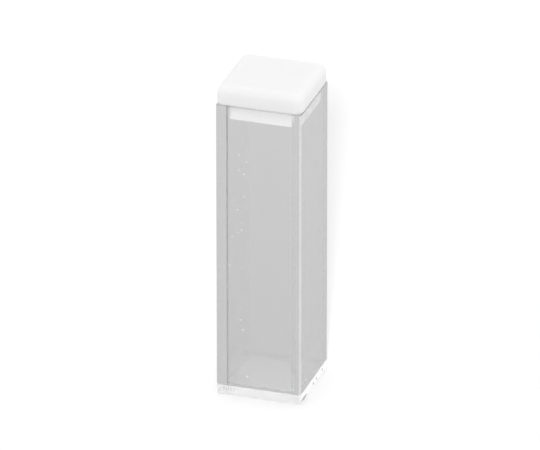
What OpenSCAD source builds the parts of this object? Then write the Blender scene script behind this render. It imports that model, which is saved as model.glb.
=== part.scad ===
// Square optical cell for liquids, with a push-in cover.
//
// Four polished windows stand on a base plate and are fused to it and to each
// other. The front and back windows take the full width, and the two side
// windows stand between them. The cover is a single milled piece:
// a cap that rests on the rim, over a plug that centres it in the mouth.
//
// Frame: +Z up, origin in the middle of the foot, front window towards -Y.
// All sizes are in millimetres.

/* [Cell] */
// Light path: clear distance between the front and back windows
light_path = 10; // [4:0.5:20]
// Clear distance between the two side windows
inner_width = 10; // [4:0.5:20]
// Thickness of the front and back windows
window_t = 1.25; // [0.8:0.05:2]
// Thickness of the two side windows
side_t = 1.25; // [0.8:0.05:2]
// Thickness of the base plate
base_t = 1.5; // [0.8:0.1:4]
// Height of the cell from its foot to its rim
cell_h = 45; // [20:0.5:60]

/* [Ground edges] */
// Width of the flat ground along each upright outer edge
edge_bevel = 0.35; // [0.05:0.05:0.6]
// Width of the flat ground round the foot and round the rim
end_bevel = 0.2; // [0.05:0.05:0.4]

/* [Cover] */
// How far the cap stands proud of the cell on each side
cap_overhang = 0.05; // [0:0.05:1]
// Thickness of the cap above the rim
cap_t = 2.8; // [2:0.1:6]
// Radius of the cap's upright corners
cap_corner_r = 1.25; // [1.25:0.05:2]
// Radius of the cap's upper edge
cap_edge_r = 1.2; // [0.3:0.05:1.2]
// Radius of the cap's lower edge
cap_lip_r = 0.25; // [0.1:0.05:0.5]
// How far the plug reaches below the rim
plug_len = 2.5; // [1:0.1:6]
// Gap between the plug and each window
plug_gap = 0.2; // [0.05:0.05:0.4]
// Radius of the plug's upright corners
plug_corner_r = 0.5; // [0.3:0.05:1]
// Radius of the plug's lower edge
plug_edge_r = 0.2; // [0.1:0.05:0.3]

/* [Hidden] */

$fn = 96;

outer_width = inner_width + 2 * side_t;
outer_depth = light_path + 2 * window_t;

cap_width = outer_width + 2 * cap_overhang;
cap_depth = outer_depth + 2 * cap_overhang;

plug_width = inner_width - 2 * plug_gap;
plug_depth = light_path - 2 * plug_gap;
// The plug runs up into the cap by this much, so that the two are one solid
plug_root = cap_t / 2;

// ---- the cell -------------------------------------------------------------

// Rectangle about the origin whose four corners are cut by a flat
module bevelled_rectangle(size, bevel) {
    x = size.x / 2;
    y = size.y / 2;
    cut = bevel / sqrt(2);
    polygon([
        [x - cut, -y], [x, -y + cut], [x, y - cut], [x - cut, y],
        [-x + cut, y], [-x, y - cut], [-x, -y + cut], [-x + cut, -y]
    ]);
}

// Outer form of the whole cell, with the flats ground on its edges
module cell_envelope() {
    intersection() {
        linear_extrude(cell_h)
            bevelled_rectangle([outer_width, outer_depth], edge_bevel);
        translate([0, outer_depth / 2, cell_h / 2])
            rotate([90, 0, 0])
                linear_extrude(outer_depth)
                    bevelled_rectangle([outer_width, cell_h], end_bevel);
        translate([-outer_width / 2, 0, cell_h / 2])
            rotate([90, 0, 90])
                linear_extrude(outer_width)
                    bevelled_rectangle([outer_depth, cell_h], end_bevel);
    }
}

// The part of the cell's envelope that lies between two opposite corners
module cell_slab(low, high) {
    intersection() {
        cell_envelope();
        translate(low) cube(high - low);
    }
}

// Full-width window on the front (side = -1) or the back (side = 1)
module wide_window(side) {
    near = side * light_path / 2;
    far = side * outer_depth / 2;
    cell_slab([-outer_width / 2, min(near, far), base_t],
              [outer_width / 2, max(near, far), cell_h]);
}

// Window on the left (side = -1) or right (side = 1), between the wide ones
module side_window(side) {
    near = side * inner_width / 2;
    far = side * outer_width / 2;
    cell_slab([min(near, far), -light_path / 2, base_t],
              [max(near, far), light_path / 2, cell_h]);
}

module front_window() {
    color([0.86, 0.88, 0.88, 0.5]) wide_window(-1);
}

module back_window() {
    color([0.86, 0.88, 0.88, 0.5]) wide_window(1);
}

module left_window() {
    color([0.80, 0.82, 0.82, 0.5]) side_window(-1);
}

module right_window() {
    color([0.80, 0.82, 0.82, 0.5]) side_window(1);
}

module base_plate() {
    color([0.95, 0.96, 0.96, 0.6])
        cell_slab([-outer_width / 2, -outer_depth / 2, 0],
                  [outer_width / 2, outer_depth / 2, base_t]);
}

// ---- the cover ------------------------------------------------------------

// What a round edge of radius r takes off a square corner in the first quadrant
module edge_waste(r) {
    difference() {
        square(r + 1);
        circle(r);
    }
}

// Half section of a block from z = 0 to height, whose outer side is at reach,
// with its upper edge rounded to top_r and its lower edge to low_r
module half_section(reach, height, top_r, low_r) {
    difference() {
        square([reach, height]);
        translate([reach - top_r, height - top_r]) edge_waste(top_r);
        translate([reach - low_r, low_r]) mirror([0, 1]) edge_waste(low_r);
    }
}

// Bar along X that has the whole section, centred on the Z axis
module rounded_bar(length, width, height, top_r, low_r) {
    translate([-length / 2, 0, 0])
        rotate([90, 0, 90])
            linear_extrude(length) {
                half_section(width / 2, height, top_r, low_r);
                mirror([1, 0]) half_section(width / 2, height, top_r, low_r);
            }
}

// Block on z = 0 with round upright corners and round upper and lower edges
module rounded_block(size, corner_r, top_r, low_r) {
    flat_x = size.x - 2 * corner_r;
    flat_y = size.y - 2 * corner_r;
    rounded_bar(flat_x, size.y, size.z, top_r, low_r);
    rotate([0, 0, 90]) rounded_bar(flat_y, size.x, size.z, top_r, low_r);
    for (sx = [-1, 1], sy = [-1, 1])
        translate([sx * flat_x / 2, sy * flat_y / 2, 0])
            rotate_extrude()
                half_section(corner_r, size.z, top_r, low_r);
}

module cover() {
    color([0.97, 0.97, 0.96])
        union() {
            translate([0, 0, cell_h])
                rounded_block([cap_width, cap_depth, cap_t], cap_corner_r, cap_edge_r, cap_lip_r);
            translate([0, 0, cell_h - plug_len])
                rounded_block([plug_width, plug_depth, plug_len + plug_root],
                              plug_corner_r, plug_edge_r, plug_edge_r);
        }
}

front_window();
back_window();
left_window();
right_window();
base_plate();
cover();
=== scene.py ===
import math
import random

import bmesh
import bpy
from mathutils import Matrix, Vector


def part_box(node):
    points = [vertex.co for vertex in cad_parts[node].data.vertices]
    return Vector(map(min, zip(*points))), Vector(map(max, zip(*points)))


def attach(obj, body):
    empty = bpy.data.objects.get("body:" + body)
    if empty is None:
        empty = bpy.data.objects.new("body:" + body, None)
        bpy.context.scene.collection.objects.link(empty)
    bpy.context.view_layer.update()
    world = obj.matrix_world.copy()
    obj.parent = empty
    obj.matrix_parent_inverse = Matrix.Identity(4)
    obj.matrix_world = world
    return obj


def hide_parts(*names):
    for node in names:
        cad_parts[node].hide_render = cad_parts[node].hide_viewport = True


# A square optical cell of clear fused plates, closed by a loose white cover.
# Everything is in metres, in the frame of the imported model: +Z up, foot at z = 0,
# front window towards -Y. Azimuths are turned from -Y towards +X.

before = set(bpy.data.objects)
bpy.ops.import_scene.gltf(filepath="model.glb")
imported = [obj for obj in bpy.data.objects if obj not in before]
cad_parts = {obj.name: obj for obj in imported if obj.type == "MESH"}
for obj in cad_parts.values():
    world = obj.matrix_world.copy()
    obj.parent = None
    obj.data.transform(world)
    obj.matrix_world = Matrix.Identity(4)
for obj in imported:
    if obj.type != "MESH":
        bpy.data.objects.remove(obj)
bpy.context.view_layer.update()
MM = 0.001

# ---- sizes -------------------------------------------------------------------

FRONT_LOW, FRONT_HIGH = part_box("front_window")
_, LEFT_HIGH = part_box("left_window")
BASE_LOW, BASE_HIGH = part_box("base_plate")
COVER_LOW, COVER_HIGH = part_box("cover")

HALF_OUT = Vector((FRONT_HIGH.x, -FRONT_LOW.y, 0))
HALF_IN = Vector((-LEFT_HIGH.x, -FRONT_HIGH.y, 0))
RIM = FRONT_HIGH.z
SEAT = BASE_HIGH.z

# Flats ground on the cell's edges, as the legs that they cut off
UPRIGHT_CUT = 0.35 * MM / math.sqrt(2)
END_CUT = 0.2 * MM / math.sqrt(2)
OCTAGON_SHARE = math.tan(math.radians(22.5))
# Cut across the bore's corners, and the gap between the windows and the base plate
BORE_CUT = 0.32 * MM
SEAM = 0.012 * MM

# Radii of the cover's corners, seen from above, and of its edges
CAP_CORNER = 1.25 * MM
CAP_EDGE = 1.2 * MM
CAP_LIP = 0.25 * MM
PLUG_CORNER = 0.5 * MM
PLUG_EDGE = 0.2 * MM
# What is left of a corner's radius where an edge that is rounded more draws it in
SMALLEST_CORNER = 0.02 * MM

# Specks of dust: the number on either window, and ranges in millimetres for the half size
# and the place of each. On the front they gather round one X.
SPECK_SEED = 11
FRONT_SPECKS = 18
FRONT_SPECK_SIZE = (0.06, 0.11)
FRONT_SPECK_X = -2.3
FRONT_SPECK_SPREAD = 0.9
FRONT_SPECK_Z = (2.5, 41)
RIGHT_SPECKS = 8
RIGHT_SPECK_SIZE = (0.05, 0.09)
RIGHT_SPECK_Y = (0, 4.4)
RIGHT_SPECK_Z = (8, 36)

# Damage to the base plate, in millimetres. In its right side: pits, as Y, Z and radius, and
# one long chip, by its half sizes. In its front side: scores, as X, Z, half length and lean.
CHIP_SEED = 3
PITS = ((3.9, 0.8, 0.24), (1.2, 0.7, 0.2), (-0.3, 0.6, 0.26))
LONG_CHIP_Y = -4.6
LONG_CHIP_Z = 0.38
LONG_CHIP_HALF_LENGTH = 1.3
LONG_CHIP_LEAN = 0.1
LONG_CHIP_HALF_HEIGHT = 0.22
SCORES = ((-5.7, 0.8, 0.5, 0.3), (-5.1, 0.95, 0.4, 0), (-4.75, 0.9, 0.45, 0),
          (-4.4, 1.0, 0.35, 0), (-4.05, 0.95, 0.4, 0), (-3.6, 1.0, 0.3, 0))
SCORE_HALF_WIDTH = 0.035

# Specks, pits, chips and scores are all thin flakes, whose outlines stray from their size
FLAKE_THICKNESS = 0.02 * MM
FLAKE_RAGGED = (0.65, 1.15)

# ---- material constants ----------------------------------------------------------

QUARTZ_IOR = 1.46
ABSORPTION_PER_METRE = 3
PTFE_IOR = 1.35

# How much light the windows let through at the foot, where they are painted darker as painted
# shade, and in their mottles, and by how much their haze is multiplied at either end
PAINTED_SHADE_AT_FOOT = 0.96
MOTTLE = 0.96
HAZE_AT_FOOT = 1.35
HAZE_AT_RIM = 0.9

# The cover's white under the rim, where only the plug is, and above it: the plug is painted
# lighter, as painted light for the light that the glass keeps from it. Clouds take a little off.
PLUG_PAINTED_LIGHT = 0.94
CAP_WHITE = 0.80
WHITE_CHANGE = 0.3 * MM
CLOUDS = 0.99

# Noise seldom leaves this range
NOISE_LOW = 0.3
NOISE_HIGH = 0.7

# ---- studio --------------------------------------------------------------------

# The camera's place in degrees and metres, its lens and sensor in millimetres, and how far
# it aims beside and above the middle of the cell
VIEW_AZIMUTH = 17.9
VIEW_ELEVATION = 25.5
VIEW_DISTANCE = 1.2
LENS = 568
SENSOR = 36
AIM_RIGHT = -0.27 * MM
AIM_UP = 1.76 * MM

# Paper and sky are white where they are seen directly. The glass shows a grey card instead,
# as a clear cell does that is held against one. PAPER_GLOW is how the paper lights matt faces.
PAPER_ALBEDO = 0.67
PAPER_GLOW = 1.0
SKY_WHITE = 1.05
CARD_GREY = 0.64

# Half the floor's width, and its small drop, so that it doesn't coincide with the foot
FLOOR_HALF = 1.6
FLOOR_DROP = 0.01 * MM

# Light crosses many faces of glass, one behind the other
BOUNCES = 32
DIFFUSE_BOUNCES = 16


# ---- mesh tools ----------------------------------------------------------------

# Sides of an octagon in the order of its points, the front being towards -Y
RIGHT, BACK, LEFT, FRONT_LEFT, FRONT_RIGHT = 0, 2, 4, 5, 7


def new_object(name, bm, materials):
    """Turns the bmesh into an object of the scene, with its faces pointing outwards."""
    mesh = bpy.data.meshes.new(name)
    bm.normal_update()
    bmesh.ops.recalc_face_normals(bm, faces=bm.faces)
    bm.to_mesh(mesh)
    bm.free()
    obj = bpy.data.objects.new(name, mesh)
    bpy.context.scene.collection.objects.link(obj)
    for material in materials:
        mesh.materials.append(material)
    return obj


def octagon(half, cut, z):
    """Rectangle of that half size whose corners are cut by a flat, anticlockwise."""
    x, y = half.x, half.y
    points = [(x, -y + cut), (x, y - cut), (x - cut, y), (-x + cut, y),
              (-x, y - cut), (-x, -y + cut), (-x + cut, -y), (x - cut, -y)]
    return [Vector((px, py, z)) for px, py in points]


def shrunk(half, by):
    return Vector((half.x - by, half.y - by, 0))


def shrunk_octagon(z):
    """The outer octagon, drawn in by the flat that is ground round either end."""
    return octagon(shrunk(HALF_OUT, END_CUT), UPRIGHT_CUT - END_CUT * OCTAGON_SHARE, z)


def bridge(bm, low, high, material):
    """Quads between two rings that have the same number of points. material gives each its slot."""
    count = len(low)
    for i in range(count):
        j = (i + 1) % count
        face = bm.faces.new((low[i], low[j], high[j], high[i]))
        face.material_index = material(i)


def verts(bm, points):
    return [bm.verts.new(p) for p in points]


# ---- the cell ------------------------------------------------------------------

# Material slots of the walls and of the base plate
POLISHED, GROUND, GAP_SHADOW_FLAT, CORNER_PAINTED_SHADE, JOINT = range(5)
BASE_TOP, BASE_SIDE, BASE_UNDER, BASE_CLEARER, BASE_PAINTED_LIGHT = range(5)


def upright(side):
    """Material of that outer side of the walls: the ground white flat at the front right is a
    painted highlight along that corner.
    """
    return GROUND if side == FRONT_RIGHT else POLISHED


def bore_side(side):
    """A matt grey line of painted shade runs down the front left corner of the bore."""
    return CORNER_PAINTED_SHADE if side == FRONT_LEFT else POLISHED


def base_side(side):
    """The base plate is ground whitest on its right, as painted light for its brighter lit side,
    and least at its back and left.
    """
    special = {RIGHT: BASE_PAINTED_LIGHT, BACK: BASE_CLEARER, LEFT: BASE_CLEARER}
    return special.get(side, BASE_SIDE)


def make_walls(materials):
    """The four windows as the one fused piece that they are, open at both ends."""
    bm = bmesh.new()
    foot = verts(bm, octagon(HALF_OUT, UPRIGHT_CUT, SEAT + SEAM))
    shoulder = verts(bm, octagon(HALF_OUT, UPRIGHT_CUT, RIM - END_CUT))
    rim = verts(bm, shrunk_octagon(RIM))
    inner_foot = verts(bm, octagon(HALF_IN, BORE_CUT, SEAT + SEAM))
    inner_rim = verts(bm, octagon(HALF_IN, BORE_CUT, RIM))
    bridge(bm, foot, shoulder, upright)
    # The outer flat at the rim carries the painted gap shadow
    bridge(bm, shoulder, rim, lambda i: GAP_SHADOW_FLAT)
    bridge(bm, rim, inner_rim, lambda i: GROUND)
    bridge(bm, inner_rim, inner_foot, bore_side)
    bridge(bm, inner_foot, foot, lambda i: JOINT)
    return new_object("cell_walls", bm, materials)


def make_base(materials):
    """The square plate that closes the cell below, with its foot's edge ground."""
    bm = bmesh.new()
    under = verts(bm, shrunk_octagon(BASE_LOW.z))
    ankle = verts(bm, octagon(HALF_OUT, UPRIGHT_CUT, BASE_LOW.z + END_CUT))
    top = verts(bm, octagon(HALF_OUT, UPRIGHT_CUT, SEAT))
    bridge(bm, under, ankle, lambda i: BASE_SIDE)
    bridge(bm, ankle, top, base_side)
    bm.faces.new(under).material_index = BASE_UNDER
    bm.faces.new(top).material_index = BASE_TOP
    return new_object("cell_base", bm, materials)


# ---- specks and chips ------------------------------------------------------------

def add_flake(bm, chance, centre, across, up, thick, points=9):
    """A thin ragged flake: across and up are its half sizes, thick is its whole thickness."""
    outline = []
    for i in range(points):
        angle = math.tau * i / points
        reach = chance.uniform(*FLAKE_RAGGED)
        outline.append(centre + reach * (math.cos(angle) * across + math.sin(angle) * up))
    rings = [verts(bm, [point + side * thick for point in outline]) for side in (-0.5, 0.5)]
    bridge(bm, rings[0], rings[1], lambda i: 0)
    bm.faces.new(rings[0])
    bm.faces.new(rings[1])


def make_specks(material):
    """White specks of dust on the front window, most of them left of its middle, and on the
    right one."""
    chance = random.Random(SPECK_SEED)
    bm = bmesh.new()
    for _ in range(FRONT_SPECKS):
        size = chance.uniform(*FRONT_SPECK_SIZE) * MM
        x = chance.gauss(FRONT_SPECK_X, FRONT_SPECK_SPREAD) * MM
        z = chance.uniform(*FRONT_SPECK_Z) * MM
        add_flake(bm, chance, Vector((x, -HALF_OUT.y, z)),
                  Vector((size, 0, 0)), Vector((0, 0, size)), Vector((0, FLAKE_THICKNESS, 0)))
    for _ in range(RIGHT_SPECKS):
        size = chance.uniform(*RIGHT_SPECK_SIZE) * MM
        y = chance.uniform(*RIGHT_SPECK_Y) * MM
        z = chance.uniform(*RIGHT_SPECK_Z) * MM
        add_flake(bm, chance, Vector((HALF_OUT.x, y, z)),
                  Vector((0, size, 0)), Vector((0, 0, size)), Vector((FLAKE_THICKNESS, 0, 0)))
    return new_object("glass_specks", bm, [material])


def make_chips(material):
    """Grey damage to the base plate: pits and a long chip near the front in its right side,
    and fine scores at the left end of its front side, one of which leans."""
    chance = random.Random(CHIP_SEED)
    bm = bmesh.new()
    thick = Vector((FLAKE_THICKNESS, 0, 0))
    for y, z, size in PITS:
        add_flake(bm, chance, Vector((HALF_OUT.x, y * MM, z * MM)),
                  Vector((0, size * MM, 0)), Vector((0, 0, size * MM)), thick)
    add_flake(bm, chance, Vector((HALF_OUT.x, LONG_CHIP_Y * MM, LONG_CHIP_Z * MM)),
              Vector((0, LONG_CHIP_HALF_LENGTH * MM, 0)),
              Vector((0, LONG_CHIP_LEAN * MM, LONG_CHIP_HALF_HEIGHT * MM)), thick, points=17)
    across = Vector((SCORE_HALF_WIDTH * MM, 0, 0))
    thick = Vector((0, FLAKE_THICKNESS, 0))
    for x, z, length, lean in SCORES:
        add_flake(bm, chance, Vector((x * MM, -HALF_OUT.y, z * MM)),
                  across, Vector((lean * MM, 0, length * MM)), thick)
    return new_object("base_chips", bm, [material])


# ---- the cover -----------------------------------------------------------------

def plug_half_width():
    """Half the plug's width, measured on the cover's part below the rim."""
    below = [v.co.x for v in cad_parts["cover"].data.vertices if v.co.z < RIM - MM]
    return max(below)


def round_ring(half, corner, z, steps=14):
    """Rectangle of that half size with round corners, anticlockwise."""
    points = []
    for k, (sx, sy) in enumerate(((1, 1), (-1, 1), (-1, -1), (1, -1))):
        centre = Vector((sx * (half.x - corner), sy * (half.y - corner), z))
        for i in range(steps + 1):
            angle = math.radians(90 * k + 90 * i / steps)
            points.append(centre + corner * Vector((math.cos(angle), math.sin(angle), 0)))
    return points


def round_over(half, corner, radius, z, upward, steps):
    """Rings that round an edge over, from the side of the block to its end face."""
    rings = []
    for i in range(steps + 1):
        angle = math.radians(90 * i / steps)
        inset = radius * (1 - math.cos(angle))
        rise = radius * math.sin(angle) * (1 if upward else -1)
        ring_corner = max(corner - inset, SMALLEST_CORNER)
        rings.append(round_ring(shrunk(half, inset), ring_corner, z + rise))
    return rings


def make_cover(materials):
    """Cap and plug as one lofted solid, from the plug's underside to the cap's top."""
    cap = Vector((COVER_HIGH.x, COVER_HIGH.y, 0))
    plug = Vector((plug_half_width(), plug_half_width(), 0))
    plug_end = round_over(plug, PLUG_CORNER, PLUG_EDGE, COVER_LOW.z + PLUG_EDGE,
                          upward=False, steps=5)
    cap_lip = round_over(cap, CAP_CORNER, CAP_LIP, RIM + CAP_LIP, upward=False, steps=6)
    cap_top = round_over(cap, CAP_CORNER, CAP_EDGE, COVER_HIGH.z - CAP_EDGE,
                         upward=True, steps=14)
    plug_root = round_ring(plug, PLUG_CORNER, RIM)
    rings = plug_end[::-1] + [plug_root] + cap_lip[::-1] + cap_top
    bm = bmesh.new()
    loops = [verts(bm, ring) for ring in rings]
    for low, high in zip(loops, loops[1:]):
        bridge(bm, low, high, lambda i: 0)
    bm.faces.new(loops[0])
    bm.faces.new(loops[-1])
    obj = new_object("cover_ptfe", bm, materials)
    for polygon in obj.data.polygons:
        polygon.use_smooth = len(polygon.vertices) == 4
    return obj


# ---- materials -----------------------------------------------------------------

def new_material(name):
    material = bpy.data.materials.new(name)
    material.use_nodes = True
    tree = material.node_tree
    return material, tree, tree.nodes["Principled BSDF"]


def link(tree, source, output, target, socket):
    tree.links.new(source.outputs[output], target.inputs[socket])


def noise(tree, size, stretch=(1, 1, 1), detail=3):
    """Noise in the object's own metres, whose grains are about that size."""
    place = tree.nodes.new("ShaderNodeTexCoord")
    scale = tree.nodes.new("ShaderNodeMapping")
    scale.inputs["Scale"].default_value = [s / size for s in stretch]
    texture = tree.nodes.new("ShaderNodeTexNoise")
    texture.inputs["Scale"].default_value = 1
    texture.inputs["Detail"].default_value = detail
    link(tree, place, "Object", scale, "Vector")
    link(tree, scale, "Vector", texture, "Vector")
    return texture


def ramp(tree, source, output, low, high, to_low, to_high):
    """The output, mapped from low..high to to_low..to_high and held at either end."""
    node = tree.nodes.new("ShaderNodeMapRange")
    node.inputs["From Min"].default_value = low
    node.inputs["From Max"].default_value = high
    node.inputs["To Min"].default_value = to_low
    node.inputs["To Max"].default_value = to_high
    link(tree, source, output, node, "Value")
    return node


def noise_ramp(tree, texture, to_low, to_high):
    """The noise, stretched so that it runs from to_low to to_high."""
    return ramp(tree, texture, "Fac", NOISE_LOW, NOISE_HIGH, to_low, to_high)


def coordinates(tree):
    """The object's own X, Y and Z, one output each."""
    place = tree.nodes.new("ShaderNodeTexCoord")
    parts = tree.nodes.new("ShaderNodeSeparateXYZ")
    link(tree, place, "Object", parts, "Vector")
    return parts


def product(tree, first, second):
    node = tree.nodes.new("ShaderNodeMath")
    node.operation = "MULTIPLY"
    link(tree, first, "Result", node, 0)
    link(tree, second, "Result", node, 1)
    return node


def grey(tree, shader, source, output):
    """Paints the shader with that number as a neutral colour."""
    colour = tree.nodes.new("ShaderNodeCombineColor")
    for channel in ("Red", "Green", "Blue"):
        link(tree, source, output, colour, channel)
    link(tree, colour, "Color", shader, "Base Color")


def grain(tree, shader, texture, depth, strength):
    """Raises the surface by that noise, to that depth in metres."""
    bump = tree.nodes.new("ShaderNodeBump")
    bump.inputs["Strength"].default_value = strength
    bump.inputs["Distance"].default_value = depth
    link(tree, texture, "Fac", bump, "Height")
    link(tree, bump, "Normal", shader, "Normal")


def window_glass(name, haze_low=0.14, haze_high=0.19):
    """Fused quartz: clear, painted darker towards the foot as painted shade, with random mottles
    and a faint haze that thickens downwards.
    """
    material, tree, shader = new_material(name)
    shader.inputs["IOR"].default_value = QUARTZ_IOR
    shader.inputs["Transmission Weight"].default_value = 1.0
    volume = tree.nodes.new("ShaderNodeVolumeAbsorption")
    volume.inputs["Color"].default_value = (0, 0, 0, 1)
    volume.inputs["Density"].default_value = ABSORPTION_PER_METRE
    link(tree, volume, "Volume", tree.nodes["Material Output"], "Volume")
    place = coordinates(tree)
    # Darker towards the foot: painted shade
    foot_shade = ramp(tree, place, "Z", SEAT, RIM, PAINTED_SHADE_AT_FOOT, 1.0)
    mottle = noise_ramp(tree, noise(tree, 0.2 * MM, detail=2), MOTTLE, 1.0)
    grey(tree, shader, product(tree, foot_shade, mottle), 0)
    thicker = ramp(tree, place, "Z", SEAT, RIM, HAZE_AT_FOOT, HAZE_AT_RIM)
    haze = noise_ramp(tree, noise(tree, 4 * MM), haze_low, haze_high)
    link(tree, product(tree, thicker, haze), 0, shader, "Roughness")
    return material


def gap_shadow_glass(name, gap_shadow_grey, roughness):
    """Glass of the flat ground round the rim, painted darker than the windows as painted shadow of
    the gap under the cover's lip, with random streaks.
    """
    material, tree, shader = new_material(name)
    shader.inputs["IOR"].default_value = QUARTZ_IOR
    shader.inputs["Transmission Weight"].default_value = 1.0
    streaks = noise(tree, 0.5 * MM, stretch=(1, 1, 0.2))
    grey(tree, shader, noise_ramp(tree, streaks, gap_shadow_grey - 0.06, gap_shadow_grey + 0.06), "Result")
    shader.inputs["Roughness"].default_value = roughness
    grain(tree, shader, noise(tree, 0.05 * MM), depth=0.004 * MM, strength=0.4)
    return material


def ground_glass(name, low, high, transmission, rough, stretch=(1, 1, 1)):
    """A flat that was ground and not polished: white grains over clear glass."""
    material, tree, shader = new_material(name)
    shader.inputs["IOR"].default_value = QUARTZ_IOR
    shader.inputs["Transmission Weight"].default_value = transmission
    patches = noise(tree, 0.7 * MM, stretch)
    grey(tree, shader, noise_ramp(tree, patches, low, high), "Result")
    grains = noise(tree, 0.06 * MM)
    link(tree, noise_ramp(tree, grains, rough, rough + 0.15), "Result", shader, "Roughness")
    grain(tree, shader, grains, depth=0.004 * MM, strength=0.3)
    return material


def matt(name, low, high, patch):
    """A dull opaque surface, blotched between two greys."""
    material, tree, shader = new_material(name)
    grey(tree, shader, noise_ramp(tree, noise(tree, patch), low, high), "Result")
    shader.inputs["Roughness"].default_value = 0.8
    shader.inputs["Specular IOR Level"].default_value = 0.0
    grain(tree, shader, noise(tree, patch / 8), depth=patch / 100, strength=0.4)
    return material


def ptfe(name):
    """PTFE: matt white, faintly cloudy, with a fine waxy grain; the plug under the rim is painted
    lighter than the cap above it, as painted light.
    """
    material, tree, shader = new_material(name)
    place = coordinates(tree)
    # The plug is painted whiter than the cap: painted light in place of the light that the glass
    # keeps from it
    white = ramp(tree, place, "Z", RIM - WHITE_CHANGE, RIM, PLUG_PAINTED_LIGHT, CAP_WHITE)
    clouds = noise_ramp(tree, noise(tree, 3 * MM), CLOUDS, 1.0)
    grey(tree, shader, product(tree, white, clouds), 0)
    shader.inputs["IOR"].default_value = PTFE_IOR
    shader.inputs["Subsurface Weight"].default_value = 0.4
    shader.inputs["Subsurface Radius"].default_value = (1, 1, 1)
    shader.inputs["Subsurface Scale"].default_value = 1.2 * MM
    grains = noise(tree, 0.12 * MM, detail=5)
    link(tree, noise_ramp(tree, grains, 0.5, 0.65), "Result", shader, "Roughness")
    grain(tree, shader, grains, depth=0.012 * MM, strength=0.35)
    return material


def paper(name):
    """White paper where it is seen directly, and the grey card where it is seen through glass."""
    material, tree, shader = new_material(name)
    shader.inputs["Base Color"].default_value = (PAPER_ALBEDO, PAPER_ALBEDO, PAPER_ALBEDO, 1)
    shader.inputs["Roughness"].default_value = 0.9
    shader.inputs["Specular IOR Level"].default_value = 0.0
    path = tree.nodes.new("ShaderNodeLightPath")
    card = tree.nodes.new("ShaderNodeEmission")
    glow = ramp(tree, path, "Diffuse Depth", 0, 1, CARD_GREY, PAPER_GLOW)
    link(tree, glow, "Result", card, "Strength")
    mix = tree.nodes.new("ShaderNodeMixShader")
    link(tree, path, "Is Camera Ray", mix, 0)
    link(tree, card, 0, mix, 1)
    link(tree, shader, 0, mix, 2)
    link(tree, mix, 0, tree.nodes["Material Output"], "Surface")
    material.cycles.emission_sampling = "NONE"
    return material


# ---- the stage -----------------------------------------------------------------

def direction(azimuth, elevation):
    """Points from the object to that place, given in degrees."""
    azimuth, elevation = math.radians(azimuth), math.radians(elevation)
    return Vector((math.sin(azimuth) * math.cos(elevation),
                   -math.cos(azimuth) * math.cos(elevation),
                   math.sin(elevation)))


def make_floor():
    """A wide sheet of paper under the foot."""
    bm = bmesh.new()
    bmesh.ops.create_grid(bm, x_segments=1, y_segments=1, size=FLOOR_HALF)
    for v in bm.verts:
        v.co.z -= FLOOR_DROP
    floor = new_object("floor", bm, [paper("floor_paper")])
    return floor


def make_world():
    """An even white sky, which glass shows as the grey card."""
    world = bpy.data.worlds.new("studio")
    bpy.context.scene.world = world
    world.use_nodes = True
    world.cycles.sampling_method = "NONE"
    tree = world.node_tree
    background = tree.nodes["Background"]
    background.inputs["Color"].default_value = (1, 1, 1, 1)
    path = tree.nodes.new("ShaderNodeLightPath")
    direct = tree.nodes.new("ShaderNodeMath")
    direct.operation = "MAXIMUM"
    link(tree, path, "Is Camera Ray", direct, 0)
    link(tree, path, "Diffuse Depth", direct, 1)
    strength = ramp(tree, direct, 0, 0, 1, CARD_GREY, SKY_WHITE)
    link(tree, strength, "Result", background, "Strength")


def group(name, members):
    collection = bpy.data.collections.new(name)
    for member in members:
        collection.objects.link(member)
    return collection


def make_sun(name, azimuth, elevation, spread, strength, receivers, blocker=None):
    """A soft sun that lights those pieces only, and of them their matt surfaces, not the glass.
    A blocker, if given, alone shades them."""
    data = bpy.data.lights.new(name, "SUN")
    data.angle = math.radians(spread)
    data.energy = strength
    data.cycles.use_multiple_importance_sampling = False
    lamp = bpy.data.objects.new(name, data)
    bpy.context.scene.collection.objects.link(lamp)
    lamp.visible_glossy = False
    lamp.visible_transmission = False
    lamp.rotation_mode = "QUATERNION"
    lamp.rotation_quaternion = direction(azimuth, elevation).to_track_quat("Z", "Y")
    lamp.light_linking.receiver_collection = group(name + "_lights", receivers)
    if blocker is not None:
        lamp.light_linking.blocker_collection = group(name + "_shades", [blocker])


def make_camera():
    """A long lens that looks down on the front and the right side."""
    back = direction(VIEW_AZIMUTH, VIEW_ELEVATION)
    right = direction(VIEW_AZIMUTH + 90, 0)
    up = back.cross(right)
    aim = Vector((0, 0, RIM / 2)) + AIM_RIGHT * right + AIM_UP * up
    camera = bpy.data.objects.new("camera", bpy.data.cameras.new("camera"))
    bpy.context.scene.collection.objects.link(camera)
    camera.data.sensor_width = SENSOR
    camera.data.lens = LENS
    camera.data.clip_start = 0.01
    camera.data.clip_end = 10
    camera.location = aim + VIEW_DISTANCE * back
    camera.rotation_mode = "QUATERNION"
    camera.rotation_quaternion = (-back).to_track_quat("-Z", "Y")
    bpy.context.scene.camera = camera


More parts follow.
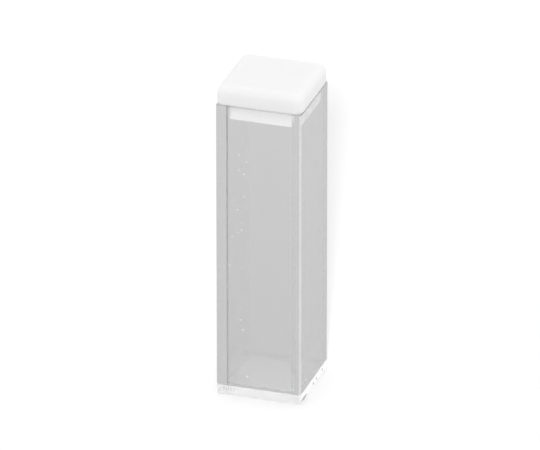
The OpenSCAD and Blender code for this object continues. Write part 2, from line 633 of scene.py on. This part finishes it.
def set_picture():
    """Plain tones, and bounces enough to see through every face of the glass."""
    scene = bpy.context.scene
    scene.view_settings.view_transform = "Standard"
    scene.cycles.max_bounces = BOUNCES
    scene.cycles.glossy_bounces = BOUNCES
    scene.cycles.transmission_bounces = BOUNCES
    scene.cycles.diffuse_bounces = DIFFUSE_BOUNCES
    scene.cycles.blur_glossy = 0


# ---- all of it -----------------------------------------------------------------

make_camera()
make_world()
floor = make_floor()
set_picture()

# Ground white flats: on the rim's top, and on the front right corner as a painted highlight
edge = ground_glass("ground_white_and_painted_highlight", 0.85, 0.95, transmission=0.6, rough=0.3)
# The outer flat at the rim is painted dark: painted shadow of the gap under the cover's lip
rim = gap_shadow_glass("rim_painted_gap_shadow", gap_shadow_grey=0.62, roughness=0.4)
# A matt grey strip down the bore's front left corner: painted shade
corner = matt("corner_painted_shade", 0.45, 0.55, patch=0.5 * MM)
joint = window_glass("fused_joint", haze_low=0.0, haze_high=0.02)
walls = make_walls([window_glass("window_glass"), edge, rim, corner, joint])
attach(walls, "cell")
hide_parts("front_window", "back_window", "left_window", "right_window")

upright_streaks = (1, 1, 0.25)
side = ground_glass("base_side", 0.97, 1.0, transmission=0.42, rough=0.35,
                    stretch=upright_streaks)
clearer = ground_glass("base_side_clearer", 0.97, 1.0, transmission=0.6, rough=0.25,
                       stretch=upright_streaks)
# The right side is nearly opaque white: painted light for the side that the light falls on
painted_light_side = ground_glass("base_side_painted_light", 0.97, 1.0, transmission=0.05, rough=0.35,
                      stretch=upright_streaks)
underside = ground_glass("base_underside", 0.95, 1.0, transmission=0.6, rough=0.4)
base = make_base([window_glass("base_glass"), side, underside, clearer, painted_light_side])
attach(base, "cell")
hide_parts("base_plate")

specks = make_specks(matt("dust", 0.9, 1.0, patch=0.2 * MM))
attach(specks, "cell")

chips = make_chips(matt("chipped_glass", 0.38, 0.52, patch=0.2 * MM))
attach(chips, "cell")

cover = make_cover([ptfe("ptfe")])
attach(cover, "cover")
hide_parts("cover")

# Two suns for the shadows on the floor, one for the cover's top and one for the right sides
make_sun("back_sun", VIEW_AZIMUTH - 1.4, VIEW_ELEVATION + 1, spread=5, strength=2.6,
         receivers=[floor])
make_sun("top_sun", 225, 88.5, spread=6, strength=0.45, receivers=[floor])
make_sun("cover_sun", -10, 75, spread=30, strength=0.4, receivers=[cover], blocker=cover)
make_sun("side_sun", 88, 8, spread=20, strength=0.17, receivers=[cover, base], blocker=cover)
